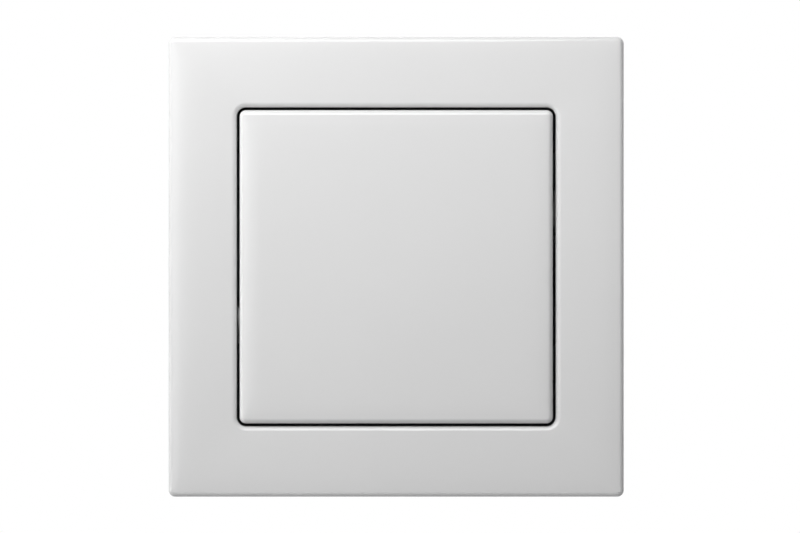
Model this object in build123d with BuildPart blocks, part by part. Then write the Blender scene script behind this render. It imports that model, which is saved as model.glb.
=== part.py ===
from build123d import *
from math import cos, radians, sin
import os

# Two-way rocker switch for a round flush box: a square cover frame, a large rocker,
# and the switch mechanism that stands in the box behind them.
# X is to the right, Z is up and Y goes into the wall. The wall's face is y = 0, and
# "height" below is the distance in front of it, so what is in the box is negative.
# At rest the rocker stands level, halfway between its two positions, with both
# contacts open.

# Cover frame
frame_width = 80.0
frame_length = 80.8
frame_projection = 9.6
frame_wall = 2.0
frame_front = 2.3
frame_corner = 1.2
frame_rounding = 0.9
frame_inner_rounding = 0.95
collar_wall = 1.6
collar_rear = 1.1
collar_lip = 1.0
collar_lip_height = 0.8
frame_rib = 1.0
frame_rib_spacing = 30.0
screw_notch_width = 9.0
screw_notch_height = 3.2

# Soft shoulder that runs round the faces of the frame and the rocker
shoulder_width = 3.6
shoulder_rise = 0.12

# Rocker
rocker_size = 55.0
rocker_gap = 0.5
rocker_projection = 10.3
rocker_skirt_rear = 5.1
rocker_wall = 1.5
rocker_front = 1.6
rocker_corner = 1.1
rocker_rounding = 0.95
rocker_tilt = 4.0
rocker_rib = 1.0
rocker_rib_depth = 1.5
rib_spacing_across = 39.6
rib_spacing_along = 32.0

# Pivot and yoke
pivot_height = 6.2
pivot_pin_radius = 1.5
pivot_pin_length = 2.8
running_play = 0.05
assembly_play = 0.3
yoke_width = 27.2
yoke_length = 22.0
yoke_thickness = 1.7
yoke_post = 3.0
yoke_post_inset = 4.5
hub_radius = 2.1
hook_width = 6.0
hook_thickness = 1.2
hook_lip = 0.7

# Plunger and its spring
tip_centre_depth = 16.0
tip_radius = 1.2
plunger_radius = 1.5
plunger_play = 0.15
plunger_top_depth = 7.4
boss_wall = 1.1
boss_depth = 11.0
gusset_depth = 2.8
spring_wire = 0.45
spring_turns = 3.0

# Contact bridge, which rocks on a knife edge of the common terminal
bridge_tilt = 6.0
bridge_width = 6.0
bridge_end = 1.3
bridge_thickness = 0.8
bridge_flange = 0.6
bridge_surface = 1.2
saddle_width = 3.6
saddle_notch = 1.1
saddle_notch_depth = 0.8
knife_base = 0.8
knife_top = 0.5
knife_height = 1.0
contact_inset = 12.0
contact_radius = 1.45
contact_height = 0.6
contact_crown = 0.25
contact_clearance = 0.06
plunger_clearance = 0.1

# Support ring
ring_play = 2.5
ring_thickness = 1.0
ring_corner = 5.0
box_screw_spacing = 60.0
box_slot_width = 4.4
box_slot_length = 6.0
ring_notch_spacing = 30.0
ring_notch_width = 3.0
ring_notch_depth = 1.0

# Housing
housing_width = 38.0
housing_length = 42.0
housing_depth = 19.0
housing_wall = 1.6
housing_floor = 3.0
housing_corner = 7.0
housing_flange = 3.0
housing_flange_thickness = 1.6
mouth_play = 0.2
partition = 1.2
partition_top = -4.0
partition_overlap = 0.8
support_inset = 1.0

# Mechanism cover
cover_plate = 1.6
cover_lip = 1.2
cover_skirt = 1.2
cheek_thickness = 2.6
cheek_base = 9.0
cheek_foot = 1.0
window_width = 12.0
window_length = 14.0
snap_width = 5.0
snap_length = 5.4
snap_barb = 0.8
snap_spacing = 18.0
snap_room = 0.5
latch_spacing = 34.0
latch_width = 6.0
latch_thickness = 1.0
latch_barb = 0.8
latch_root = 1.0
latch_room = 0.5
stop_width = 4.0
stop_thickness = 2.0
stop_spacing = 41.0

# Terminals
strip_thickness = 0.8
strip_drop = 2.0
tongue_width = 6.0
tongue_end = 2.0
terminal_width = 16.0
terminal_length = 6.5
terminal_rise = 7.0
wire_pitch = 9.2
wire_hole_radius = 1.9
wire_inset = 2.7
clamp_leaf = 0.5
clamp_width = 12.8
clamp_inset = 5.9
clamp_foot = 0.8
clamp_tip = 5.3
clamp_bend = 0.7
lever_gap = 0.7
lever_low = 0.6
lever_high = 3.2
lever_shoulder = 1.0
lever_shoulder_height = 1.2
lever_width = 3.0
lever_depth = 2.6
lever_play = 0.3
lever_proud = 0.9
terminal_play = 0.8
rear_cover = 3.0
rear_step = 0.5
peg_size = 2.4
peg_inset = 5.0
peg_spacing = 12.0

# Spreading claws
claw_screw_x = 24.3
claw_screw_z = 8.5
claw_screw_radius = 1.5
claw_screw_length = 14.0
claw_head_radius = 2.3
claw_head_height = 1.8
claw_pivot_x = 20.9
claw_pivot_height = -4.0
claw_pin_radius = 0.75
claw_sheet = 1.2
claw_width = 7.0
claw_arm = 13.0
claw_slot = 3.8
claw_nut_radius = 2.0
claw_nut_play = 0.15
lug_thickness = 1.2
lug_wall = 1.0
lug_base = 5.0
lug_play = 0.4
claw_head_slot = 0.8
claw_window_length = 9.1
claw_window_middle = 6.2
ring_opening_rim = 1.2

# Worked out from the sizes above
opening_size = rocker_size + 2 * rocker_gap
opening_corner = rocker_corner + rocker_gap
frame_inner_front = frame_projection - frame_front
cap_inner = rocker_projection - rocker_front
yoke_rear = pivot_height - yoke_thickness
hook_tip = yoke_rear - hook_lip
boss_rear = pivot_height - boss_depth
plunger_top = pivot_height - plunger_top_depth
tip_centre = pivot_height - tip_centre_depth
bearing_height = tip_centre - tip_radius - bridge_surface - plunger_clearance
half_turn = 180
edge_margin = 0.1
tilt = radians(rocker_tilt)
bridge_angle = radians(bridge_tilt)
contact_spacing = housing_length - 2 * contact_inset
rivet_tip = contact_height - bridge_surface + bridge_thickness
closed_contact_height = bearing_height - contact_spacing / 2 * sin(bridge_angle) \
    - rivet_tip * cos(bridge_angle) - contact_clearance
fixed_contact_reach = contact_spacing / 2 * cos(bridge_angle) - rivet_tip * sin(bridge_angle)
strip_front = bearing_height - strip_drop
strip_rear = strip_front - strip_thickness
floor_front = housing_floor - housing_depth
cavity_width = housing_width - 2 * housing_wall
cavity_length = housing_length - 2 * housing_wall
cavity_corner = housing_corner - housing_wall
rear_face = -housing_depth - rear_cover
peg_reach = housing_width / 2 - peg_inset
side_reach = cavity_width / 2 - assembly_play
end_reach = cavity_length / 2 - terminal_play
ring_size = min(frame_width, frame_length) - 2 * (frame_wall + ring_play)
ring_opening_width = housing_width + 2 * ring_opening_rim
ring_opening_length = housing_length + 2 * mouth_play
lever_middle = clamp_inset - lever_gap - lever_depth / 2
plate_front = ring_thickness + cover_plate
terminals = {"common": (90, side_reach), "top": (0, end_reach), "bottom": (half_turn, end_reach)}
sides = {"right": -90, "left": 90}


def level(height):
    """Plane parallel to the wall: local x is right, local y is up, and it faces the front."""
    return Plane.XZ.offset(height)


def turned(height, turn):
    """The same plane, turned about the centre line so that local y points another way."""
    across = (cos(radians(turn)), 0, sin(radians(turn)))
    return Plane(origin=(0, -height, 0), x_dir=across, z_dir=(0, -1, 0))


def side(turn, across=0):
    """Plane along the centre line: local x runs outwards and local y to the front."""
    flat = turned(0, turn)
    return Plane(origin=flat.x_dir * across, x_dir=flat.y_dir, z_dir=flat.x_dir)


def save(part, name):
    """Labels a finished piece and writes it."""
    part.label = name
    export_step(part, f"parts/{name}.step")


def crowned_block(width, length, corner, rear, front, rounding):
    """Square block with a rounded rim, and a face that rises from it in a soft shoulder."""
    rim = front - shoulder_rise
    run = shoulder_width - rounding
    bend = (run ** 2 + shoulder_rise ** 2) / (2 * shoulder_rise)
    with BuildPart() as block:
        with BuildSketch(level(rear)):
            RectangleRounded(width, length, corner)
        extrude(amount=rim - rear)
        fillet(block.faces().sort_by(Axis.Y)[0].edges(), rounding)
    with BuildPart() as face:
        with BuildSketch(level(rim)):
            Rectangle(width - 2 * rounding, length - 2 * rounding)
        extrude(amount=shoulder_rise)
        for turn, reach in ((0, length / 2 - rounding), (90, width / 2 - rounding)):
            with BuildSketch(side(turn)):
                with BuildLine():
                    Line((-reach, rim), (reach, rim))
                    RadiusArc((reach, rim), (reach - run, front), -bend)
                    Line((reach - run, front), (run - reach, front))
                    RadiusArc((run - reach, front), (-reach, rim), -bend)
                make_face()
            extrude(amount=width, both=True, mode=Mode.INTERSECT)
    return block.part + face.part


# The cover frame is one moulding: a square with a soft shoulder, hollow at the back,
# with a collar round the opening, ribs between collar and wall, latch grooves, and a
# lip on the collar that closes the view past the rocker. Beside the box screws the
# collar is notched for their heads, and the lip steps forward over them.
with BuildPart() as cover_frame:
    add(crowned_block(frame_width, frame_length, frame_corner, 0, frame_projection, frame_rounding))
    with BuildSketch(level(0)):
        RectangleRounded(frame_width - 2 * frame_wall, frame_length - 2 * frame_wall, frame_corner)
    extrude(amount=frame_inner_front, mode=Mode.SUBTRACT)
    with BuildSketch(level(collar_rear)):
        RectangleRounded(opening_size + 2 * collar_wall, opening_size + 2 * collar_wall,
                         opening_corner + collar_wall)
        with Locations((0, -frame_rib_spacing / 2), (0, frame_rib_spacing / 2)):
            Rectangle(frame_width - frame_wall, frame_rib)
        with Locations((-frame_rib_spacing / 2, 0), (frame_rib_spacing / 2, 0)):
            Rectangle(frame_rib, frame_length - frame_wall)
    extrude(amount=frame_inner_front - collar_rear)
    with BuildSketch(level(0)):
        RectangleRounded(opening_size, opening_size, opening_corner)
    extrude(amount=2 * frame_projection, mode=Mode.SUBTRACT)
    reach = opening_size / 2 + edge_margin
    inner_edges = [
        edge for edge in cover_frame.edges().group_by(Axis.Y)[0]
        if abs((edge @ 0.5).X) < reach and abs((edge @ 0.5).Z) < reach
    ]
    fillet(inner_edges, frame_inner_rounding)
    with BuildSketch(level(plate_front)):
        with Locations((0, -latch_spacing / 2), (0, latch_spacing / 2)):
            Rectangle(opening_size + 2 * latch_barb, latch_width + 2 * latch_room)
    extrude(amount=2 * latch_barb, mode=Mode.SUBTRACT)
    with BuildSketch(level(collar_rear)):
        Rectangle(opening_size + collar_wall, opening_size + collar_wall)
        Rectangle(opening_size - 2 * collar_lip, opening_size - 2 * collar_lip, mode=Mode.SUBTRACT)
        with Locations((0, -latch_spacing / 2), (0, latch_spacing / 2)):
            Rectangle(opening_size, latch_width + 2 * latch_room, mode=Mode.SUBTRACT)
    extrude(amount=collar_lip_height)
    with BuildSketch(level(0)):
        with GridLocations(box_screw_spacing, 0, 2, 1):
            Rectangle(screw_notch_width, screw_notch_width)
    extrude(amount=screw_notch_height, mode=Mode.SUBTRACT)
    with BuildSketch(level(screw_notch_height)):
        with GridLocations(opening_size - collar_lip + frame_rib, 0, 2, 1):
            Rectangle(collar_lip + frame_rib, screw_notch_width + 2 * frame_rib)
    extrude(amount=collar_lip_height)
save(cover_frame.part, "cover_frame")

# The rocker's cap is a shallow tray with ribs and four hooks that grip the yoke.
with BuildPart() as rocker_cap:
    add(crowned_block(rocker_size, rocker_size, rocker_corner, rocker_skirt_rear,
                      rocker_projection, rocker_rounding))
    with BuildSketch(level(rocker_skirt_rear)):
        RectangleRounded(rocker_size - 2 * rocker_wall, rocker_size - 2 * rocker_wall,
                         rocker_corner / 2)
    extrude(amount=cap_inner - rocker_skirt_rear, mode=Mode.SUBTRACT)
    with BuildSketch(level(cap_inner)):
        with GridLocations(rib_spacing_across, 0, 2, 1):
            Rectangle(rocker_rib, rocker_size - rocker_wall)
        with GridLocations(0, rib_spacing_along, 1, 2):
            Rectangle(rocker_size - rocker_wall, rocker_rib)
    extrude(amount=-rocker_rib_depth)
    for end in (0, half_turn):
        with BuildSketch(side(end)):
            grip = yoke_length / 2
            with BuildLine():
                Polyline(
                    (grip, cap_inner),
                    (grip, yoke_rear),
                    (grip - snap_barb, yoke_rear),
                    (grip, hook_tip),
                    (grip + hook_thickness, hook_tip),
                    (grip + hook_thickness, cap_inner),
                    close=True,
                )
            make_face()
        extrude(amount=(yoke_width - yoke_post) / 2, both=True)
    with BuildSketch(level(hook_tip)):
        Rectangle(yoke_width - yoke_post - 2 * hook_width, 2 * yoke_length)
    extrude(amount=cap_inner - hook_tip - rocker_rib_depth, mode=Mode.SUBTRACT)
save(rocker_cap.part, "rocker_cap")

# The yoke carries the cap, turns on two pins and holds the plunger in its boss.
bore_radius = plunger_radius + plunger_play
with BuildPart() as rocker_yoke:
    with BuildSketch(level(yoke_rear)):
        Rectangle(yoke_width, yoke_length)
    extrude(amount=yoke_thickness)
    with BuildSketch(level(pivot_height)):
        with GridLocations(yoke_width - 2 * yoke_post_inset, yoke_length - 2 * yoke_post, 2, 2):
            Rectangle(yoke_post, yoke_post)
    extrude(amount=cap_inner - pivot_height)
    with BuildSketch(side(0)):
        with Locations((0, pivot_height)):
            Circle(hub_radius)
    extrude(amount=yoke_width / 2, both=True)
    with BuildSketch(side(0)):
        with Locations((0, pivot_height)):
            Circle(pivot_pin_radius)
    extrude(amount=yoke_width / 2 + pivot_pin_length, both=True)
    with BuildSketch(level(boss_rear)):
        Circle(bore_radius + boss_wall)
    extrude(amount=boss_depth)
    with BuildSketch(level(yoke_rear - gusset_depth)):
        Rectangle(4 * bore_radius + boss_wall, boss_wall)
        Rectangle(boss_wall, 4 * bore_radius + boss_wall)
    extrude(amount=gusset_depth)
    with BuildSketch(level(boss_rear)):
        Circle(bore_radius)
    extrude(amount=yoke_rear - boss_rear, mode=Mode.SUBTRACT)
save(rocker_yoke.part, "rocker_yoke")

# The plunger slides in the boss and presses its blunt tip on the contact bridge.
with BuildPart() as plunger:
    with BuildSketch(side(0)):
        with BuildLine():
            Polyline(
                (0, tip_centre - tip_radius),
                (0, plunger_top),
                (plunger_radius, plunger_top),
                (plunger_radius, tip_centre + 3 * tip_radius),
                (tip_radius, tip_centre + 2 * tip_radius),
                (tip_radius, tip_centre),
                (tip_radius / 2, tip_centre - tip_radius),
                close=True,
            )
        make_face()
    revolve(axis=Axis.Y)
save(plunger.part, "plunger")

coil_height = yoke_rear - plunger_top - spring_wire - 2 * running_play
with BuildPart() as plunger_spring:
    with BuildLine() as coil:
        Helix(pitch=coil_height / spring_turns, height=coil_height,
              radius=plunger_radius - spring_wire / 2,
              center=(0, -plunger_top - spring_wire / 2 - running_play, 0), direction=(0, -1, 0))
    with BuildSketch(Plane(origin=coil.line @ 0, z_dir=coil.line % 0)):
        RegularPolygon(spring_wire / 2, 4)
    sweep(is_frenet=True)
save(plunger_spring.part, "plunger_spring")

# The mechanism cover closes the housing's mouth through the ring. It carries the two
# bearing cheeks, the rocker's stops, legs that snap into the housing and frame latches.
latch_reach = opening_size / 2 - assembly_play
stop_top = pivot_height + (cap_inner - pivot_height) * cos(tilt) \
    - (stop_spacing + stop_thickness) / 2 * sin(tilt) - assembly_play
with BuildPart() as mechanism_cover:
    flange_width = ring_opening_width + 2 * cover_lip
    flange_length = ring_opening_length + 2 * cover_lip
    with BuildSketch(level(ring_thickness)):
        RectangleRounded(flange_width, flange_length, housing_corner)
    extrude(amount=cover_plate)
    with BuildSketch(level(-housing_flange_thickness)):
        RectangleRounded(cavity_width - 2 * mouth_play, cavity_length - 2 * mouth_play,
                         cavity_corner)
    extrude(amount=housing_flange_thickness + ring_thickness)
    with BuildSketch(level(-housing_flange_thickness)):
        RectangleRounded(cavity_width - 2 * mouth_play - 2 * cover_skirt,
                         cavity_length - 2 * mouth_play - 2 * cover_skirt,
                         cavity_corner - cover_skirt)
    extrude(amount=housing_flange_thickness + ring_thickness, mode=Mode.SUBTRACT)
    with BuildSketch(level(0)):
        Rectangle(window_width, window_length)
    extrude(amount=plate_front, mode=Mode.SUBTRACT)
    cheek_inner = yoke_width / 2 + assembly_play
    for hand in (-1, 1):
        with BuildSketch(side(0, hand * cheek_inner)):
            with Locations((0, pivot_height)):
                Circle(hub_radius)
            with Locations((0, plate_front + cheek_foot / 2)):
                Rectangle(cheek_base, cheek_foot)
            make_hull()
            with Locations((0, pivot_height)):
                Circle(pivot_pin_radius + running_play, mode=Mode.SUBTRACT)
        extrude(amount=hand * cheek_thickness)
    with BuildSketch(level(plate_front)):
        with GridLocations(yoke_width - stop_width, stop_spacing, 2, 2):
            Rectangle(stop_width, stop_thickness)
    extrude(amount=stop_top - plate_front)
    for end in (0, half_turn):
        with BuildSketch(side(end)):
            leg = cavity_length / 2 - mouth_play
            with BuildLine():
                Polyline(
                    (leg - cover_skirt, -housing_flange_thickness),
                    (leg - cover_skirt, -snap_length),
                    (leg, -snap_length),
                    (leg + snap_barb, -snap_length + snap_barb),
                    (leg + snap_barb, -snap_length + 2 * snap_barb),
                    (leg, -snap_length + 2 * snap_barb),
                    (leg, -housing_flange_thickness),
                    close=True,
                )
            make_face()
        extrude(amount=(snap_spacing + snap_width) / 2, both=True)
    with BuildSketch(level(-snap_length)):
        Rectangle(snap_spacing - snap_width, housing_length)
    extrude(amount=snap_length - housing_flange_thickness, mode=Mode.SUBTRACT)
    for hand in (-90, 90):
        for shift in (-latch_spacing / 2, latch_spacing / 2):
            with BuildSketch(side(hand, shift)):
                with BuildLine():
                    Polyline(
                        (flange_width / 2 - latch_root, ring_thickness),
                        (latch_reach, ring_thickness),
                        (latch_reach, plate_front + 2 * running_play),
                        (latch_reach + latch_barb, plate_front + 2 * running_play),
                        (latch_reach, plate_front + latch_barb),
                        (latch_reach - latch_thickness, plate_front + latch_barb),
                        (latch_reach - latch_thickness, ring_thickness + latch_thickness),
                        (flange_width / 2 - latch_root, ring_thickness + latch_thickness),
                        close=True,
                    )
                make_face()
            extrude(amount=latch_width / 2, both=True)
save(mechanism_cover.part, "mechanism_cover")

# The support ring is pressed from sheet steel.
with BuildPart() as support_ring:
    with BuildSketch(level(0)):
        RectangleRounded(ring_size, ring_size, ring_corner)
        RectangleRounded(ring_opening_width, ring_opening_length, housing_corner, mode=Mode.SUBTRACT)
        with GridLocations(box_screw_spacing, 0, 2, 1):
            SlotOverall(box_slot_length, box_slot_width, mode=Mode.SUBTRACT)
        with Locations((claw_screw_x, claw_screw_z), (-claw_screw_x, -claw_screw_z)):
            Circle(claw_screw_radius + mouth_play, mode=Mode.SUBTRACT)
        with GridLocations(ring_size, ring_notch_spacing, 2, 2):
            Rectangle(2 * ring_notch_depth, ring_notch_width, mode=Mode.SUBTRACT)
        with GridLocations(ring_notch_spacing, ring_size, 2, 2):
            Rectangle(ring_notch_width, 2 * ring_notch_depth, mode=Mode.SUBTRACT)
    extrude(amount=ring_thickness)
save(support_ring.part, "support_ring")

# The housing is a deep tray with a flange behind the ring. Partitions keep the contact
# chamber apart from the terminals, and lugs on its flanks carry the claws.
with BuildPart() as base_housing:
    with BuildSketch(level(-housing_depth)):
        RectangleRounded(housing_width, housing_length, housing_corner)
    extrude(amount=housing_depth)
    with BuildSketch(level(-housing_flange_thickness)):
        RectangleRounded(housing_width + 2 * housing_flange, housing_length + housing_flange,
                         housing_corner + housing_flange / 2)
    extrude(amount=housing_flange_thickness)
    with BuildSketch(level(floor_front)):
        RectangleRounded(cavity_width, cavity_length, cavity_corner)
    extrude(amount=-floor_front, mode=Mode.SUBTRACT)
    wire_room = wire_hole_radius + mouth_play
    for turn, reach in terminals.values():
        inner = reach - terminal_length - partition / 2
        with BuildSketch(turned(floor_front, turn)):
            with Locations((0, inner)):
                Rectangle(terminal_width + 2 * partition_overlap, partition)
        extrude(amount=partition_top - floor_front)
        with BuildSketch(turned(floor_front, turn)):
            with Locations((0, reach - terminal_length / 2)):
                with GridLocations(terminal_width - 2 * support_inset, 0, 2, 1):
                    Rectangle(partition, terminal_length)
            with Locations((0, reach - terminal_length - 2 * partition)):
                Rectangle(partition, 2 * partition)
        extrude(amount=strip_rear - floor_front)
        with BuildSketch(turned(strip_rear, turn)):
            with Locations((0, inner)):
                Rectangle(tongue_width + 2 * assembly_play, 2 * partition)
        extrude(amount=strip_thickness + assembly_play, mode=Mode.SUBTRACT)
        with BuildSketch(turned(-housing_depth, turn)):
            with Locations((0, reach - wire_inset)):
                Rectangle(wire_pitch + 2 * wire_room, 2 * wire_room)
            with Locations((0, reach - lever_middle)):
                Rectangle(lever_width + 2 * (lever_shoulder + lever_play), lever_depth + 2 * lever_play)
        extrude(amount=housing_floor, mode=Mode.SUBTRACT)
    with BuildSketch(level(-housing_depth)):
        with Locations((peg_reach, -peg_spacing / 2), (peg_reach, peg_spacing / 2)):
            Rectangle(peg_size + 4 * running_play, peg_size + 4 * running_play)
    extrude(amount=housing_floor, mode=Mode.SUBTRACT)
    with BuildSketch(level(-snap_length - assembly_play)):
        with GridLocations(snap_spacing, 0, 2, 1):
            Rectangle(snap_width + 2 * snap_room, housing_length + 2 * snap_barb)
    extrude(amount=2 * snap_barb + assembly_play + 2 * running_play, mode=Mode.SUBTRACT)
    for turn in sides.values():
        for across in (-1, 1):
            edge = -claw_screw_z + across * (claw_width / 2 + lug_play + lug_thickness / 2)
            with BuildSketch(side(turn, edge)):
                with Locations((claw_pivot_x, claw_pivot_height)):
                    Circle(claw_pin_radius + lug_wall)
                with Locations(((housing_width - lug_wall) / 2, claw_pivot_height)):
                    Rectangle(lug_wall, lug_base)
                make_hull()
                with Locations((claw_pivot_x, claw_pivot_height)):
                    Circle(claw_pin_radius + running_play, mode=Mode.SUBTRACT)
            extrude(amount=lug_thickness / 2, both=True)
save(base_housing.part, "base_housing")

# The rear cover holds the terminals in and has the wire entries and release slots.
with BuildPart() as terminal_cover:
    with BuildSketch(level(rear_face)):
        RectangleRounded(housing_width - 2 * rear_step, housing_length - 2 * rear_step,
                         housing_corner - rear_step)
    extrude(amount=rear_cover)
    for turn, reach in terminals.values():
        with BuildSketch(turned(rear_face, turn)):
            with Locations((-wire_pitch / 2, reach - wire_inset), (wire_pitch / 2, reach - wire_inset)):
                Circle(wire_hole_radius)
            with Locations((0, reach - lever_middle)):
                Rectangle(lever_width + 2 * lever_play, lever_depth + 2 * lever_play)
        extrude(amount=rear_cover, mode=Mode.SUBTRACT)
    with BuildSketch(level(-housing_depth)):
        with Locations((peg_reach, -peg_spacing / 2), (peg_reach, peg_spacing / 2)):
            Rectangle(peg_size, peg_size)
    extrude(amount=housing_floor)
save(terminal_cover.part, "terminal_cover")


def terminal_strip(turn, reach, tongue_start):
    """Brass strip: a tongue to the contact, a wide end with wire windows, and a clamp wall."""
    wide_start = reach - terminal_length
    with BuildPart() as strip:
        with BuildSketch(turned(strip_rear, turn)):
            with Locations((0, (tongue_start + wide_start) / 2)):
                Rectangle(tongue_width, wide_start - tongue_start)
            with Locations((0, reach - terminal_length / 2)):
                Rectangle(terminal_width, terminal_length)
            with Locations((-wire_pitch / 2, reach - wire_inset), (wire_pitch / 2, reach - wire_inset)):
                Rectangle(2 * wire_hole_radius, 2 * wire_hole_radius, mode=Mode.SUBTRACT)
            with Locations((0, reach - lever_middle)):
                Rectangle(lever_width + 2 * lever_play, lever_depth + 2 * lever_play,
                          mode=Mode.SUBTRACT)
        extrude(amount=strip_thickness)
        with BuildSketch(turned(strip_front, turn)):
            with Locations((0, reach - strip_thickness / 2)):
                Rectangle(terminal_width, strip_thickness)
        extrude(amount=terminal_rise)
    return strip.part


def fixed_contact(turn):
    """Silver rivet head on a strip's tongue."""
    with BuildPart() as contact:
        with BuildSketch(turned(strip_front, turn)):
            with Locations((0, fixed_contact_reach)):
                Circle(contact_radius)
        extrude(amount=closed_contact_height - strip_front)
    return contact.part


def clamp_spring(turn, reach):
    """Bent leaf: its foot stands by the strip and its free leg points at the clamp wall."""
    foot = reach - clamp_inset
    with BuildPart() as leaf:
        with BuildSketch(side(turn)):
            with BuildLine():
                FilletPolyline(
                    (reach - strip_thickness - assembly_play, strip_front + terminal_rise),
                    (foot, strip_front + terminal_rise),
                    (foot, strip_front + clamp_foot),
                    (reach - strip_thickness - 2 * assembly_play, strip_front + clamp_tip),
                    radius=clamp_bend,
                )
            trace(line_width=clamp_leaf)
        extrude(amount=clamp_width / 2, both=True)
    return leaf.part


def release_lever(turn, reach):
    """Push lever between the two wires, with a collar that rests on the rear cover."""
    near = reach - lever_middle - lever_depth / 2
    far = near + lever_depth
    with BuildPart() as lever:
        with BuildSketch(side(turn)):
            with BuildLine():
                Polyline(
                    (near, rear_face - lever_proud),
                    (far, rear_face - lever_proud),
                    (far, strip_front + lever_high),
                    (near, strip_front + lever_low),
                    close=True,
                )
            make_face()
        extrude(amount=lever_width / 2, both=True)
        with BuildSketch(turned(-housing_depth + 2 * running_play, turn)):
            with Locations((0, reach - lever_middle)):
                Rectangle(lever_width + 2 * lever_shoulder, lever_depth)
        extrude(amount=lever_shoulder_height)
    return lever.part


for name, (turn, reach) in terminals.items():
    if name != "common":
        save(terminal_strip(turn, reach, fixed_contact_reach - tongue_end), f"traveller_terminal_{name}")
        save(fixed_contact(turn), f"fixed_contact_{name}")
    save(clamp_spring(turn, reach), f"clamp_spring_{name}")
    save(release_lever(turn, reach), f"release_lever_{name}")

# The common strip runs under the bridge and carries it on a bent-up knife edge.
with BuildPart() as common_terminal:
    add(terminal_strip(*terminals["common"], -tongue_end))
    with BuildSketch(side(0)):
        with BuildLine():
            Polyline(
                (-knife_base, strip_rear),
                (-knife_top, bearing_height - knife_height),
                (0, bearing_height - plunger_clearance / 2),
                (knife_top, bearing_height - knife_height),
                (knife_base, strip_rear),
                close=True,
            )
        make_face()
    extrude(amount=bridge_width / 2, both=True)
save(common_terminal.part, "common_terminal")

# The bridge is a stiff copper channel with a saddle that sits on the knife edge.
bridge_rear = bearing_height + bridge_surface - bridge_thickness
with BuildPart() as contact_bridge:
    with BuildSketch(level(bridge_rear)):
        Rectangle(bridge_width, contact_spacing + 2 * bridge_end)
    extrude(amount=bridge_thickness)
    with BuildSketch(level(bearing_height + bridge_surface)):
        with GridLocations(bridge_width - bridge_flange, 0, 2, 1):
            Rectangle(bridge_flange, contact_spacing - 2 * contact_radius)
    extrude(amount=bridge_flange)
    with BuildSketch(side(0)):
        with Locations((0, bearing_height)):
            Rectangle(saddle_width, 2 * (bridge_surface - bridge_thickness))
        with BuildLine():
            Polyline(
                (-saddle_notch, bearing_height - saddle_notch_depth),
                (0, bearing_height + plunger_clearance / 2),
                (saddle_notch, bearing_height - saddle_notch_depth),
                close=True,
            )
        make_face(mode=Mode.SUBTRACT)
    extrude(amount=bridge_width / 2, both=True)
save(contact_bridge.part, "contact_bridge")

for name, turn in (("top", 0), ("bottom", half_turn)):
    with BuildPart() as moving_contact:
        with BuildSketch(side(turn)):
            with BuildLine():
                middle = contact_spacing / 2
                Polyline(
                    (middle, bridge_rear - contact_height),
                    (middle, bridge_rear),
                    (middle + contact_radius, bridge_rear),
                    (middle + contact_radius, bridge_rear - contact_height + contact_crown),
                    close=True,
                )
            make_face()
        revolve(axis=Axis(side(turn).from_local_coords((middle, 0, 0)), (0, 1, 0)))
    save(moving_contact.part, f"moving_contact_{name}")

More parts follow.
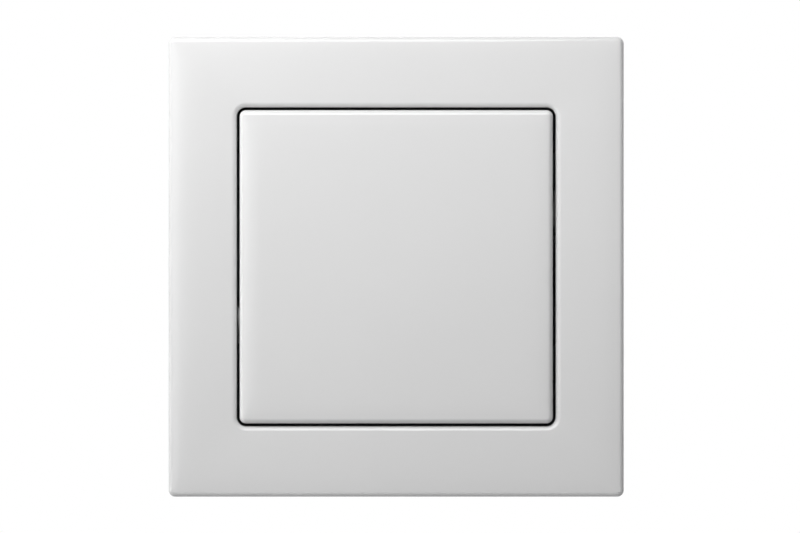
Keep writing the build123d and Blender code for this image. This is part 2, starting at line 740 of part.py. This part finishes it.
# Each claw hangs on pins in the housing's lugs. Its screw draws a barrel nut forward
# against the forked foot, which swings the toothed arm out to grip the box.
for hand, turn in sides.items():
    claw_depth = claw_pivot_height - claw_arm
    with BuildPart() as claw:
        with BuildSketch(side(turn, -claw_screw_z)):
            with BuildLine():
                Polyline(
                    (claw_pivot_x - claw_sheet / 2, claw_pivot_height + claw_sheet),
                    (claw_pivot_x - claw_sheet / 2, claw_depth),
                    (claw_pivot_x + 2 * claw_sheet, claw_depth - claw_sheet),
                    (claw_pivot_x + claw_sheet, claw_depth + claw_sheet),
                    (claw_pivot_x + claw_sheet / 2, claw_depth + 2 * claw_sheet),
                    (claw_pivot_x + claw_sheet / 2, claw_pivot_height),
                    (claw_screw_x + claw_nut_radius + assembly_play, claw_pivot_height),
                    (claw_screw_x + claw_nut_radius + assembly_play, claw_pivot_height + claw_sheet),
                    close=True,
                )
            make_face()
        extrude(amount=claw_width / 2, both=True)
        with BuildSketch(side(turn, -claw_screw_z)):
            with Locations((claw_pivot_x, claw_pivot_height)):
                Circle(claw_pin_radius)
        extrude(amount=claw_width / 2 + assembly_play + lug_thickness, both=True)
        with BuildSketch(turned(claw_pivot_height - assembly_play, turn)):
            with Locations((-claw_screw_z, claw_screw_x + claw_nut_radius)):
                Rectangle(claw_slot, 2 * (claw_nut_radius + claw_screw_radius + assembly_play))
        extrude(amount=2 * claw_sheet, mode=Mode.SUBTRACT)
        with BuildSketch(side(turn, -claw_screw_z)):
            with Locations((claw_pivot_x, claw_pivot_height - claw_window_middle)):
                Rectangle(2 * claw_sheet, claw_window_length)
        extrude(amount=claw_slot / 2, both=True, mode=Mode.SUBTRACT)
    save(claw.part, f"claw_{hand}")
    with BuildPart() as claw_screw:
        with BuildSketch(turned(ring_thickness - claw_screw_length, turn)):
            with Locations((-claw_screw_z, claw_screw_x)):
                Circle(claw_screw_radius)
        extrude(amount=claw_screw_length)
        with BuildSketch(turned(ring_thickness, turn)):
            with Locations((-claw_screw_z, claw_screw_x)):
                Circle(claw_head_radius)
        extrude(amount=claw_head_height)
        with BuildSketch(turned(ring_thickness + claw_head_height / 2, turn)):
            with Locations((-claw_screw_z, claw_screw_x)):
                Rectangle(2 * claw_head_radius, claw_head_slot)
        extrude(amount=claw_head_height, mode=Mode.SUBTRACT)
    save(claw_screw.part, f"claw_screw_{hand}")
    with BuildPart() as claw_nut:
        with BuildSketch(side(turn, -claw_screw_z)):
            with Locations((claw_screw_x, claw_pivot_height - claw_nut_radius - claw_nut_play)):
                Circle(claw_nut_radius)
        extrude(amount=claw_width / 2, both=True)
        with BuildSketch(turned(ring_thickness - claw_screw_length, turn)):
            with Locations((-claw_screw_z, claw_screw_x)):
                Circle(claw_screw_radius + running_play)
        extrude(amount=claw_screw_length, mode=Mode.SUBTRACT)
    save(claw_nut.part, f"claw_nut_{hand}")
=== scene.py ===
from math import atan, cos, radians, sin

import bmesh
import bpy
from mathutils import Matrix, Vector


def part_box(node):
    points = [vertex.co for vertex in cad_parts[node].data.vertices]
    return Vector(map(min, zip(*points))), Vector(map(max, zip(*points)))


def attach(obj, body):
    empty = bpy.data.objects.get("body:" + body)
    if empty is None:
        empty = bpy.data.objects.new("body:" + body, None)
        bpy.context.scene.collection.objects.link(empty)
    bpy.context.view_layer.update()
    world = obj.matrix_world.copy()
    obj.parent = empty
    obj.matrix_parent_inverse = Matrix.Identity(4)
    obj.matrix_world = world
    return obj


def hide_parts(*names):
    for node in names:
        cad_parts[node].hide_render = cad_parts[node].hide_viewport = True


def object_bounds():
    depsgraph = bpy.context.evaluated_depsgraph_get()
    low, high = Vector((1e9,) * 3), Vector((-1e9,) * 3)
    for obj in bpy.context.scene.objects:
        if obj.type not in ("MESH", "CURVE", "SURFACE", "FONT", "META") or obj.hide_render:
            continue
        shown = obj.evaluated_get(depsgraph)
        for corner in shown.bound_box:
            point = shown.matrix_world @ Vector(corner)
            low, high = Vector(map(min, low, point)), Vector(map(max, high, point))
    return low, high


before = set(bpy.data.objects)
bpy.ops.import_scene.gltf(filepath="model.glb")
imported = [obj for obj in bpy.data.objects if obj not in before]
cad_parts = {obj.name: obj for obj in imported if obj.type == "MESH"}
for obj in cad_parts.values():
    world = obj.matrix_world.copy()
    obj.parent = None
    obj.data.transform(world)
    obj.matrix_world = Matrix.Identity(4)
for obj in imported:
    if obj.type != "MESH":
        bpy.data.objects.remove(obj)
cad_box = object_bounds()
mm = 0.001

# The photograph's frame in pixels, and what was measured there
image_width = 800
image_height = 533
pixels_per_mm = 5.70
object_centre = (396.2, 266.8)

# The camera's distance and the range that it sees in metres, and its sensor in millimetres
camera_distance = 1.2
nearest_seen = 0.01
farthest_seen = 20
sensor_width = 36

# Rounded rims and soft shoulders of the frame and the rocker, in metres, as in the CAD part
shoulder_width = 3.6 * mm
shoulder_rise = 0.12 * mm
frame_corner = 1.2 * mm
frame_rounding = 0.9 * mm
rocker_corner = 1.1 * mm
rocker_rounding = 0.95 * mm
rocker_gap = 0.5 * mm

# Corners of the flat faces inside the shoulders, and the rounded edge of the frame's opening
shoulder_corner = 5.0 * mm
opening_rounding = 0.95 * mm

# How far from a seam a corner may lie, how near two corners are one, and the least sharp angle
seam_tolerance = 0.005 * mm
join_tolerance = seam_tolerance / 10
sharp_angle = 30

# Heights in front of the wall between which painted shade darkens the walls of the gap round the
# rocker, how far from the middle it goes, and the height from which the frame covers the ring:
# painted shade there
painted_gap_shade_full_below = 6.8 * mm
painted_gap_shade_none_above = 8.0 * mm
painted_gap_shade_reach = 29 * mm
painted_ring_shade_from = 0.5 * mm

# Shank, head and thread of the claw screws, in metres
screw_radius = 1.5 * mm
screw_head_height = 1.8 * mm
thread_pitch = 0.5 * mm
thread_depth = 0.28 * mm

# Glossy white of the frame and the rocker, and the other finishes, as linear colours
white = (0.76, 0.76, 0.76)
grey = (0.27, 0.28, 0.29)
pale = (0.62, 0.61, 0.56)
acetal = (0.72, 0.71, 0.66)
orange = (0.75, 0.11, 0.012)
zinc = (0.56, 0.57, 0.58)
steel = (0.50, 0.49, 0.47)
brass = (0.70, 0.47, 0.17)
copper = (0.80, 0.36, 0.20)
silver = (0.82, 0.81, 0.78)

# Share of its colour left under painted shade deep in the gap, under the frame and behind the gap
painted_gap_shade_share = 0.15
painted_ring_shade_share = 0.1
painted_cover_shade_share = 0.2

# Height of the fine relief of each finish in metres, and how strongly plastic bends light
gloss_relief = 0.002 * mm
matte_relief = 0.03 * mm
sheet_relief = 0.01 * mm
metal_relief = 0.003 * mm
plastic_index = 1.5

# Range in which most of a noise texture's values lie
texture_low = 0.25
texture_high = 0.75

# The floor's depth below the switch and its half width in metres, and its colours and roughness
floor_depth = 0.45
floor_reach = 2.0
ground_dark = (0.78, 0.78, 0.78)
ground_light = (0.8, 0.8, 0.8)
ground_roughness = 0.9

# Strength with which the world lights the object; cameras and reflections see it at 1
world_light = 0.07


def new_material(name):
    """Empty node material and its Principled shader."""
    material = bpy.data.materials.new(name)
    material.use_nodes = True
    return material, material.node_tree.nodes["Principled BSDF"]


def add_node(material, kind, **values):
    """Adds a node and sets its inputs by name."""
    node = material.node_tree.nodes.new(kind)
    for key, value in values.items():
        node.inputs[key.replace("_", " ")].default_value = value
    return node


def link(material, source, target):
    """Joins an output socket to an input socket."""
    material.node_tree.links.new(source, target)


def object_coordinates(material, stretch=(1, 1, 1)):
    """Coordinates in the object's own metres, stretched along each axis."""
    place = material.node_tree.nodes.new("ShaderNodeTexCoord")
    mapping = add_node(material, "ShaderNodeMapping", Scale=stretch)
    link(material, place.outputs["Object"], mapping.inputs["Vector"])
    return mapping.outputs["Vector"]


def noise(material, scale, detail=3.0, stretch=(1, 1, 1)):
    """Noise texture whose scale is in features per metre."""
    texture = add_node(material, "ShaderNodeTexNoise", Scale=scale, Detail=detail)
    link(material, object_coordinates(material, stretch), texture.inputs["Vector"])
    return texture.outputs["Fac"]


def spread(material, source, low, high):
    """Maps a 0 to 1 texture onto a range of values."""
    node = add_node(material, "ShaderNodeMapRange", From_Min=texture_low, From_Max=texture_high,
                    To_Min=low, To_Max=high)
    link(material, source, node.inputs["Value"])
    return node.outputs["Result"]


def tint(material, source, dark, light):
    """Mixes two colours by a texture."""
    mix = material.node_tree.nodes.new("ShaderNodeMix")
    mix.data_type = "RGBA"
    mix.inputs["A"].default_value = (*dark, 1)
    mix.inputs["B"].default_value = (*light, 1)
    link(material, source, mix.inputs["Factor"])
    return mix.outputs["Result"]


def shade(colour, share):
    """The same colour, darker or lighter by a share."""
    return tuple(min(1, part * share) for part in colour)


def relief(material, shader, source, height):
    """Fine relief as a bump, with its height in metres."""
    bump = add_node(material, "ShaderNodeBump", Strength=1.0, Distance=height)
    link(material, source, bump.inputs["Height"])
    link(material, bump.outputs["Normal"], shader.inputs["Normal"])


def calculate(material, operation, first, second=0.0):
    """Math node; each side is a socket or a number."""
    node = material.node_tree.nodes.new("ShaderNodeMath")
    node.operation = operation
    for place, side in enumerate((first, second)):
        if isinstance(side, float):
            node.inputs[place].default_value = side
        else:
            link(material, side, node.inputs[place])
    return node.outputs[0]


def paint_shade(material, share, lit, dark):
    """Paints shade: fades a colour socket to a dark colour by a 0 to 1 socket."""
    mix = material.node_tree.nodes.new("ShaderNodeMix")
    mix.data_type = "RGBA"
    mix.inputs["B"].default_value = (*dark, 1)
    link(material, lit, mix.inputs["A"])
    link(material, share, mix.inputs["Factor"])
    return mix.outputs["Result"]


def place_parts(material):
    """Node whose outputs X, Y and Z are the place on the object in metres."""
    place = material.node_tree.nodes.new("ShaderNodeSeparateXYZ")
    link(material, object_coordinates(material), place.inputs["Vector"])
    return place


def painted_gap_shade_mask(material):
    """Painted shade: 0 in the open, 1 deep in the gap round the rocker, where hardly any light
    gets out.
    """
    place = place_parts(material)
    across = calculate(material, "MAXIMUM",
                       calculate(material, "ABSOLUTE", place.outputs["X"]),
                       calculate(material, "ABSOLUTE", place.outputs["Z"]))
    inside = calculate(material, "LESS_THAN", across, painted_gap_shade_reach)
    depth = add_node(material, "ShaderNodeMapRange", From_Min=-painted_gap_shade_none_above,
                     From_Max=-painted_gap_shade_full_below)
    link(material, place.outputs["Y"], depth.inputs["Value"])
    return calculate(material, "MULTIPLY", inside, depth.outputs["Result"])


def gloss_plastic(name, colour):
    """High-gloss moulding: nearly even colour, with the faint waviness of a moulded skin."""
    material, shader = new_material(name)
    shader.inputs["IOR"].default_value = plastic_index
    tone = spread(material, noise(material, scale=35, detail=2), low=0, high=1)
    lit = tint(material, tone, dark=shade(colour, 0.99), light=shade(colour, 1.01))
    # Painted shade darkens the colour deep in the gap round the rocker
    link(material, paint_shade(material, painted_gap_shade_mask(material), lit, shade(colour, painted_gap_shade_share)),
         shader.inputs["Base Color"])
    sheen = noise(material, scale=220, detail=4)
    link(material, spread(material, sheen, low=0.10, high=0.16), shader.inputs["Roughness"])
    relief(material, shader, noise(material, scale=120, detail=1), gloss_relief)
    return material


def matte_plastic(name, colour, roughness=0.45):
    """Spark-eroded moulding: fine grain in colour, gloss and relief."""
    material, shader = new_material(name)
    shader.inputs["IOR"].default_value = plastic_index
    cloud = spread(material, noise(material, scale=90, detail=5), low=0, high=1)
    link(material, tint(material, cloud, dark=shade(colour, 0.94), light=shade(colour, 1.05)),
         shader.inputs["Base Color"])
    grain = noise(material, scale=2600, detail=3)
    link(material, spread(material, grain, low=roughness - 0.06, high=roughness + 0.08),
         shader.inputs["Roughness"])
    relief(material, shader, grain, matte_relief)
    return material


def plated_sheet(name, colour):
    """Zinc-plated sheet: faint spangle with rolled streaks, painted shade where the frame covers
    it.
    """
    material, shader = new_material(name)
    shader.inputs["Metallic"].default_value = 1
    cells = add_node(material, "ShaderNodeTexVoronoi", Scale=620.0)
    link(material, object_coordinates(material), cells.inputs["Vector"])
    level = material.node_tree.nodes.new("ShaderNodeSeparateColor")
    link(material, cells.outputs["Color"], level.inputs["Color"])
    lit = tint(material, level.outputs["Red"], dark=shade(colour, 0.93), light=shade(colour, 1.06))
    # Painted shade on the ring's face that the frame covers
    painted_ring_shade_mask = calculate(material, "LESS_THAN", place_parts(material).outputs["Y"], -painted_ring_shade_from)
    link(material, paint_shade(material, painted_ring_shade_mask, lit, shade(colour, painted_ring_shade_share)),
         shader.inputs["Base Color"])
    streaks = noise(material, scale=1400, detail=3, stretch=(1, 1, 0.06))
    link(material, spread(material, streaks, low=0.34, high=0.50), shader.inputs["Roughness"])
    relief(material, shader, streaks, sheet_relief)
    return material


def drawn_metal(name, colour, roughness=0.25):
    """Stamped or drawn metal: long streaks in gloss and a slight tarnish."""
    material, shader = new_material(name)
    shader.inputs["Metallic"].default_value = 1
    tarnish = spread(material, noise(material, scale=260, detail=5), low=0, high=1)
    link(material, tint(material, tarnish, dark=shade(colour, 0.78), light=shade(colour, 1.08)),
         shader.inputs["Base Color"])
    streaks = noise(material, scale=2200, detail=3, stretch=(0.08, 1, 1))
    link(material, spread(material, streaks, low=roughness - 0.07, high=roughness + 0.12),
         shader.inputs["Roughness"])
    relief(material, shader, streaks, metal_relief)
    return material


def dress(material, *nodes):
    """Gives CAD nodes a material."""
    for name in nodes:
        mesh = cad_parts[name].data
        mesh.materials.clear()
        mesh.materials.append(material)


def ring(half_x, half_z, radius, height, steps=10):
    """Rounded rectangle of points at a height in front of the wall, corner by corner."""
    points = []
    for turn, (side_x, side_z) in enumerate(((1, 1), (-1, 1), (-1, -1), (1, -1))):
        for step in range(steps + 1):
            angle = radians(90 * (turn + step / steps))
            points.append((side_x * (half_x - radius) + radius * cos(angle), -height,
                           side_z * (half_z - radius) + radius * sin(angle)))
    return points


def shoulder_rings(half_x, half_z, front, corner, rounding, steps=12):
    """Rings from the side wall over the rim and up the soft shoulder to the flat face."""
    seam = front - shoulder_rise - rounding
    run = shoulder_width - rounding
    last = radians(90) - atan(2 * shoulder_rise / run)
    rings = []
    for step in range(steps + 1):
        angle = last * step / steps
        inset = rounding * (1 - cos(angle))
        rings.append(ring(half_x - inset, half_z - inset, corner - inset,
                          seam + rounding * sin(angle)))
    rim_inset = rounding * (1 - cos(last))
    rim_height = seam + rounding * sin(last)
    for step in range(1, steps + 1):
        share = step / steps
        inset = rim_inset + (shoulder_width - rim_inset) * share
        radius = corner - rim_inset + (shoulder_corner - corner + rim_inset) * share
        rings.append(ring(half_x - inset, half_z - inset, radius,
                          rim_height + (front - rim_height) * (1 - (1 - share) ** 2)))
    return rings


def opening_rings(half, front, corner, rounding, steps=10):
    """Rings from the flat face over the rounded edge of the opening."""
    rings = []
    for step in range(steps + 1):
        angle = radians(90 * step / steps)
        outset = rounding * (1 - sin(angle))
        rings.append(ring(half + outset, half + outset, corner + outset,
                          front - rounding * (1 - cos(angle))))
    return rings


def reworked(node):
    """Copy of a CAD node's mesh, opened for editing with its corners joined."""
    shape = bmesh.new()
    shape.from_mesh(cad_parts[node].data)
    bmesh.ops.remove_doubles(shape, verts=shape.verts, dist=join_tolerance)
    return shape


def add_strips(shape, rings):
    """Faces between each closed ring of points and the next; gives the last ring's corners."""
    loops = [[shape.verts.new(point) for point in points] for points in rings]
    for outer, inner in zip(loops, loops[1:]):
        for here in range(len(outer)):
            following = (here + 1) % len(outer)
            shape.faces.new((outer[here], outer[following], inner[following], inner[here]))
    return loops[-1]


def stand_in(shape, name, node, body, material):
    """Puts an edited mesh in a CAD node's place, on its body and in its slot."""
    for face in shape.faces:
        face.smooth = True
    mesh = bpy.data.meshes.new(name)
    shape.to_mesh(mesh)
    shape.free()
    mesh.set_sharp_from_angle(angle=radians(sharp_angle))
    mesh.materials.append(material)
    piece = bpy.data.objects.new(name, mesh)
    bpy.context.scene.collection.objects.link(piece)
    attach(piece, body)
    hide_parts(node)


def soft_front(node, body, rings, seam, filled, material):
    """Stands for a CAD node, with its front above the seam made anew as smooth rings."""
    shape = reworked(node)
    old_front = [face for face in shape.faces
                 if min(-corner.co.y for corner in face.verts) > seam - seam_tolerance]
    bmesh.ops.delete(shape, geom=old_front, context="FACES")
    last = add_strips(shape, rings)
    if filled:
        shape.faces.new(last)
    stand_in(shape, f"soft_{node}", node, body, material)


def on_shank(face, middle):
    """True for a face that runs along the plain shank round a screw's middle line."""
    heights = [corner.co.y for corner in face.verts]
    spans = [Vector((corner.co.x - middle.x, corner.co.z - middle.z)).length
             for corner in face.verts]
    return (max(heights) - min(heights) > screw_head_height
            and all(abs(span - screw_radius) < seam_tolerance for span in spans))


def thread_rings(middle, start, end, columns=28, rows_a_turn=6):
    """Rings of a right-hand thread along y, plain at both ends."""
    rows = round((end - start) / thread_pitch * rows_a_turn)
    rings = []
    for row in range(rows + 1):
        height = start + (end - start) * row / rows
        points = []
        for column in range(columns):
            turn = column / columns
            flank = abs(2 * ((height / thread_pitch - turn) % 1) - 1)
            radius = screw_radius - thread_depth * flank * (0 < row < rows)
            points.append((middle.x + radius * sin(radians(360 * turn)), height,
                           middle.z + radius * cos(radians(360 * turn))))
        rings.append(points)
    return rings


def threaded_screw(node, material):
    """Stands for a claw screw, with its plain shank made anew as a right-hand thread."""
    low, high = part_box(node)
    middle = (low + high) / 2
    shape = reworked(node)
    shank = [face for face in shape.faces if on_shank(face, middle)]
    bmesh.ops.delete(shape, geom=shank, context="FACES")
    add_strips(shape, thread_rings(middle, low.y + screw_head_height, high.y))
    stand_in(shape, f"threaded_{node}", node, node, material)


def soft_fronts(material):
    """Frame and rocker with smooth rims, shoulders and corners."""
    frame_low, frame_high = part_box("cover_frame")
    rocker_low, rocker_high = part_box("rocker_cap")
    opening = rocker_high.x + rocker_gap
    opening_corner = rocker_corner + rocker_gap
    frame_rings = shoulder_rings(frame_high.x, frame_high.z, -frame_low.y, frame_corner,
                                 frame_rounding)
    frame_rings += opening_rings(opening, -frame_low.y, opening_corner, opening_rounding)
    frame_seam = -frame_low.y - max(shoulder_rise + frame_rounding, opening_rounding)
    rocker_rings = shoulder_rings(rocker_high.x, rocker_high.z, -rocker_low.y, rocker_corner,
                                  rocker_rounding)
    rocker_seam = -rocker_low.y - shoulder_rise - rocker_rounding
    soft_front("cover_frame", "base", frame_rings, frame_seam, False, material)
    soft_front("rocker_cap", "rocker", rocker_rings, rocker_seam, True, material)


def dress_all():
    """One finish for each kind of piece."""
    ways = ("common", "top", "bottom")
    hands = ("left", "right")
    ends = ("top", "bottom")
    gloss = gloss_plastic("glossy white cover", white)
    dress(gloss, "cover_frame", "rocker_cap")
    soft_fronts(gloss)
    dress(matte_plastic("grey moulding", grey), "rocker_yoke", "terminal_cover")
    # Painted shade: the mechanism cover is seen only through the gap, so its grey is darkened
    dress(matte_plastic("grey moulding in painted shade behind the gap", shade(grey, painted_cover_shade_share)),
          "mechanism_cover")
    dress(matte_plastic("pale moulding", pale), "base_housing")
    dress(matte_plastic("acetal moulding", acetal, roughness=0.3), "plunger")
    dress(matte_plastic("orange moulding", orange, roughness=0.34),
          *[f"release_lever_{way}" for way in ways])
    dress(plated_sheet("zinc plated sheet", zinc), "support_ring",
          *[f"claw_{hand}" for hand in hands])
    plated_screw = drawn_metal("zinc plated screw", zinc, roughness=0.22)
    for hand in hands:
        threaded_screw(f"claw_screw_{hand}", plated_screw)
    dress(drawn_metal("spring steel", steel, roughness=0.22), "plunger_spring",
          *[f"clamp_spring_{way}" for way in ways])
    dress(drawn_metal("brass", brass), "common_terminal",
          *[f"traveller_terminal_{end}" for end in ends], *[f"claw_nut_{hand}" for hand in hands])
    dress(drawn_metal("copper", copper), "contact_bridge")
    dress(drawn_metal("silver", silver, roughness=0.18),
          *[f"{kind}_contact_{end}" for kind in ("fixed", "moving") for end in ends])


def looked_at(tree):
    """Socket that is 1 on camera, glossy and transmission rays, and 0 on rays that light."""
    path = tree.nodes.new("ShaderNodeLightPath")
    share = path.outputs["Is Camera Ray"]
    for kind in ("Is Glossy Ray", "Is Transmission Ray"):
        either = tree.nodes.new("ShaderNodeMath")
        either.operation = "MAXIMUM"
        tree.links.new(share, either.inputs[0])
        tree.links.new(path.outputs[kind], either.inputs[1])
        share = either.outputs[0]
    return share


def white_ground():
    """Pale ground that cameras and reflections see as pure white."""
    material, shader = new_material("white ground")
    shader.inputs["Roughness"].default_value = ground_roughness
    tone = spread(material, noise(material, scale=3, detail=2), low=0, high=1)
    link(material, tint(material, tone, ground_dark, ground_light), shader.inputs["Base Color"])
    tree = material.node_tree
    glow = add_node(material, "ShaderNodeEmission", Color=(1, 1, 1, 1), Strength=1.0)
    choose = tree.nodes.new("ShaderNodeMixShader")
    link(material, looked_at(tree), choose.inputs["Fac"])
    link(material, shader.outputs["BSDF"], choose.inputs[1])
    link(material, glow.outputs[0], choose.inputs[2])
    link(material, choose.outputs[0], tree.nodes["Material Output"].inputs["Surface"])
    return material


def build_floor():
    """Pale floor below the switch; past its edges the world is as white."""
    corners = [(side_x * floor_reach, side_y * floor_reach, -floor_depth)
               for side_x, side_y in ((-1, -1), (1, -1), (1, 1), (-1, 1))]
    mesh = bpy.data.meshes.new("floor")
    mesh.from_pydata(corners, [], [(0, 1, 2, 3)])
    mesh.materials.append(white_ground())
    floor = bpy.data.objects.new("floor", mesh)
    bpy.context.scene.collection.objects.link(floor)


def panel(name, place, size, power):
    """Soft rectangle that faces the origin; place and size in metres, power in watts."""
    lamp = bpy.data.lights.new(name, "AREA")
    lamp.shape = "RECTANGLE"
    lamp.size = size[0]
    lamp.size_y = size[1]
    lamp.energy = power
    piece = bpy.data.objects.new(name, lamp)
    bpy.context.scene.collection.objects.link(piece)
    piece.location = place
    piece.rotation_euler = (-Vector(place)).to_track_quat("-Z", "Y").to_euler()
    piece.visible_camera = False


def even_world(strength):
    """Grey light from all round that cameras and reflections see as white."""
    world = bpy.data.worlds.new("even light")
    bpy.context.scene.world = world
    world.use_nodes = True
    tree = world.node_tree
    level = tree.nodes.new("ShaderNodeMapRange")
    level.inputs["To Min"].default_value = strength
    level.inputs["To Max"].default_value = 1.0
    tree.links.new(looked_at(tree), level.inputs["Value"])
    tree.links.new(level.outputs["Result"], tree.nodes["Background"].inputs["Strength"])
    tree.nodes["Background"].inputs["Color"].default_value = (1, 1, 1, 1)


def light():
    """Near key at the upper left, side light at the left, far panels that the left shoulders
    mirror, and two panels behind, for the views of the back."""
    panel("key panel", (-0.055, -0.168, 0.156), (0.20, 0.16), 0.46)
    panel("side panel", (-0.92, -0.30, 0.10), (0.80, 0.80), 4.15)
    panel("dim left panel", (-0.28, -1.20, 0.175), (0.43, 0.45), 0.65)
    panel("bright left panel", (-0.35, -1.20, 0.15), (0.30, 0.50), 0.90)
    panel("back panel", (0.75, 1.15, 0.55), (2.0, 2.0), 9.0)
    panel("back left panel", (-0.70, 1.10, 0.10), (1.4, 1.4), 3.0)
    even_world(world_light)


def aim_camera():
    """Long lens straight at the front, with the object where the photograph has it."""
    face = cad_box[0][1]
    camera = bpy.data.cameras.new("camera")
    camera.sensor_width = sensor_width
    seen_width = image_width / pixels_per_mm * mm
    camera.lens = sensor_width * camera_distance / seen_width
    camera.clip_start = nearest_seen
    camera.clip_end = farthest_seen
    piece = bpy.data.objects.new("camera", camera)
    bpy.context.scene.collection.objects.link(piece)
    right = (image_width / 2 - object_centre[0]) / pixels_per_mm * mm
    up = (object_centre[1] - image_height / 2) / pixels_per_mm * mm
    piece.location = (right, face - camera_distance, up)
    piece.rotation_euler = (radians(90), 0, 0)
    bpy.context.scene.camera = piece


dress_all()
build_floor()
light()
aim_camera()
bpy.context.scene.view_settings.view_transform = "Standard"
